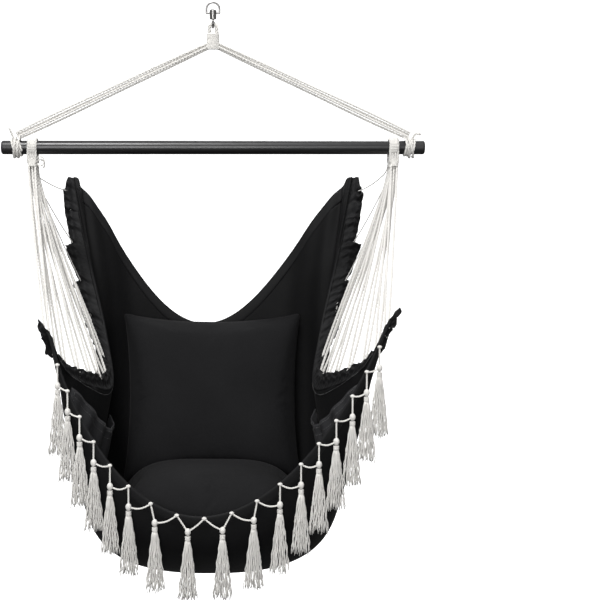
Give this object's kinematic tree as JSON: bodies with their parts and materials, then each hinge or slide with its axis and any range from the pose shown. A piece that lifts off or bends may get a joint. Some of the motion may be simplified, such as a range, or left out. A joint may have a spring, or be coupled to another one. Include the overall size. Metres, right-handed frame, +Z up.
{
  "type": "hammock chair",
  "caption": "Hanging hammock chair: a cloth seat with cushions, pockets and a tassel fringe, hung by cords from a spreader bar on a swivel hanger.",
  "frame": {"origin": "inside of the top of the hang ring, where a hook or carabiner bears", "axes": "+X along the spreader bar to the sitter's left, -Y towards the front of the seat, +Z up"},
  "size_m": [0.988, 0.5961, 1.3295],
  "materials": {
    "hanger_steel": "satin",
    "bar_finish": "satin",
    "cap_plastic": "satin",
    "cotton_cord": "matte",
    "tassel_yarn": "matte",
    "seat_cloth": "matte",
    "cushion_cloth": "matte",
    "cushion_fill": "matte"
  },
  "bodies": {
    "ring": {"hang_ring": "hanger_steel"},
    "head": {"swivel_head": "hanger_steel"},
    "eye": {"swivel_eye": "hanger_steel"},
    "spreader": {"bar_cap_left": "cap_plastic", "bar_cap_right": "cap_plastic", "hanger_rope_left": "cotton_cord", "hanger_rope_right": "cotton_cord", "hitch_left": "cotton_cord", "hitch_right": "cotton_cord", "spreader_bar": "bar_finish", "top_loop": "cotton_cord", "top_whipping": "cotton_cord"},
    "seat": {"back_hem": "seat_cloth", "back_string_left_1": "cotton_cord", "back_string_left_2": "cotton_cord", "back_string_left_3": "cotton_cord", "back_string_left_4": "cotton_cord", "back_string_right_1": "cotton_cord", "back_string_right_2": "cotton_cord", "back_string_right_3": "cotton_cord", "back_string_right_4": "cotton_cord", "cuff_left": "cotton_cord", "cuff_right": "cotton_cord", "edge_rope_left": "cotton_cord", "edge_rope_right": "cotton_cord", "fringe_cord": "tassel_yarn", "front_rim": "seat_cloth", "pocket_left": "seat_cloth", "pocket_right": "seat_cloth", "side_hem_left": "seat_cloth", "side_hem_right": "seat_cloth", "sling": "seat_cloth", "support_cord_left_1": "cotton_cord", "support_cord_left_2": "cotton_cord", "support_cord_left_3": "cotton_cord", "support_cord_left_4": "cotton_cord", "support_cord_left_5": "cotton_cord", "support_cord_left_6": "cotton_cord", "support_cord_left_7": "cotton_cord", "support_cord_left_8": "cotton_cord", "support_cord_right_1": "cotton_cord", "support_cord_right_2": "cotton_cord", "support_cord_right_3": "cotton_cord", "support_cord_right_4": "cotton_cord", "support_cord_right_5": "cotton_cord", "support_cord_right_6": "cotton_cord", "support_cord_right_7": "cotton_cord", "support_cord_right_8": "cotton_cord", "tassels_left": "tassel_yarn", "tassels_middle": "tassel_yarn", "tassels_right": "tassel_yarn"},
    "back_cushion": {"back_cushion_cover": "cushion_cloth", "back_cushion_fill": "cushion_fill"},
    "seat_cushion": {"seat_cushion_cover": "cushion_cloth", "seat_cushion_fill": "cushion_fill"}
  },
  "joints": [
    {"name": "bail_pivot", "type": "hinge", "parent": "ring", "child": "head", "pos_m": [0, 0, -0.022], "axis": [1, 0, 0], "range_deg": [-40, 40]},
    {"name": "swivel", "type": "hinge", "parent": "head", "child": "eye", "pos_m": [0, 0, -0.033], "axis": [0, 0, 1], "continuous": true},
    {"name": "bar_rock", "type": "hinge", "parent": "eye", "child": "spreader", "pos_m": [0, 0, -0.0545], "axis": [0, 1, 0], "range_deg": [-18, 18]},
    {"name": "seat_tilt", "type": "hinge", "parent": "spreader", "child": "seat", "pos_m": [0, 0, -0.33], "axis": [1, 0, 0], "range_deg": [-25, 25]},
    {"name": "back_cushion_lift_off", "type": "slide", "parent": "seat", "child": "back_cushion", "axis": [0, -0.5501, 0.8351], "range_m": [0, 0.64]},
    {"name": "seat_cushion_lift_off", "type": "slide", "parent": "seat", "child": "seat_cushion", "axis": [0, -0.1, 0.995], "range_m": [0, 0.35]}
  ]
}
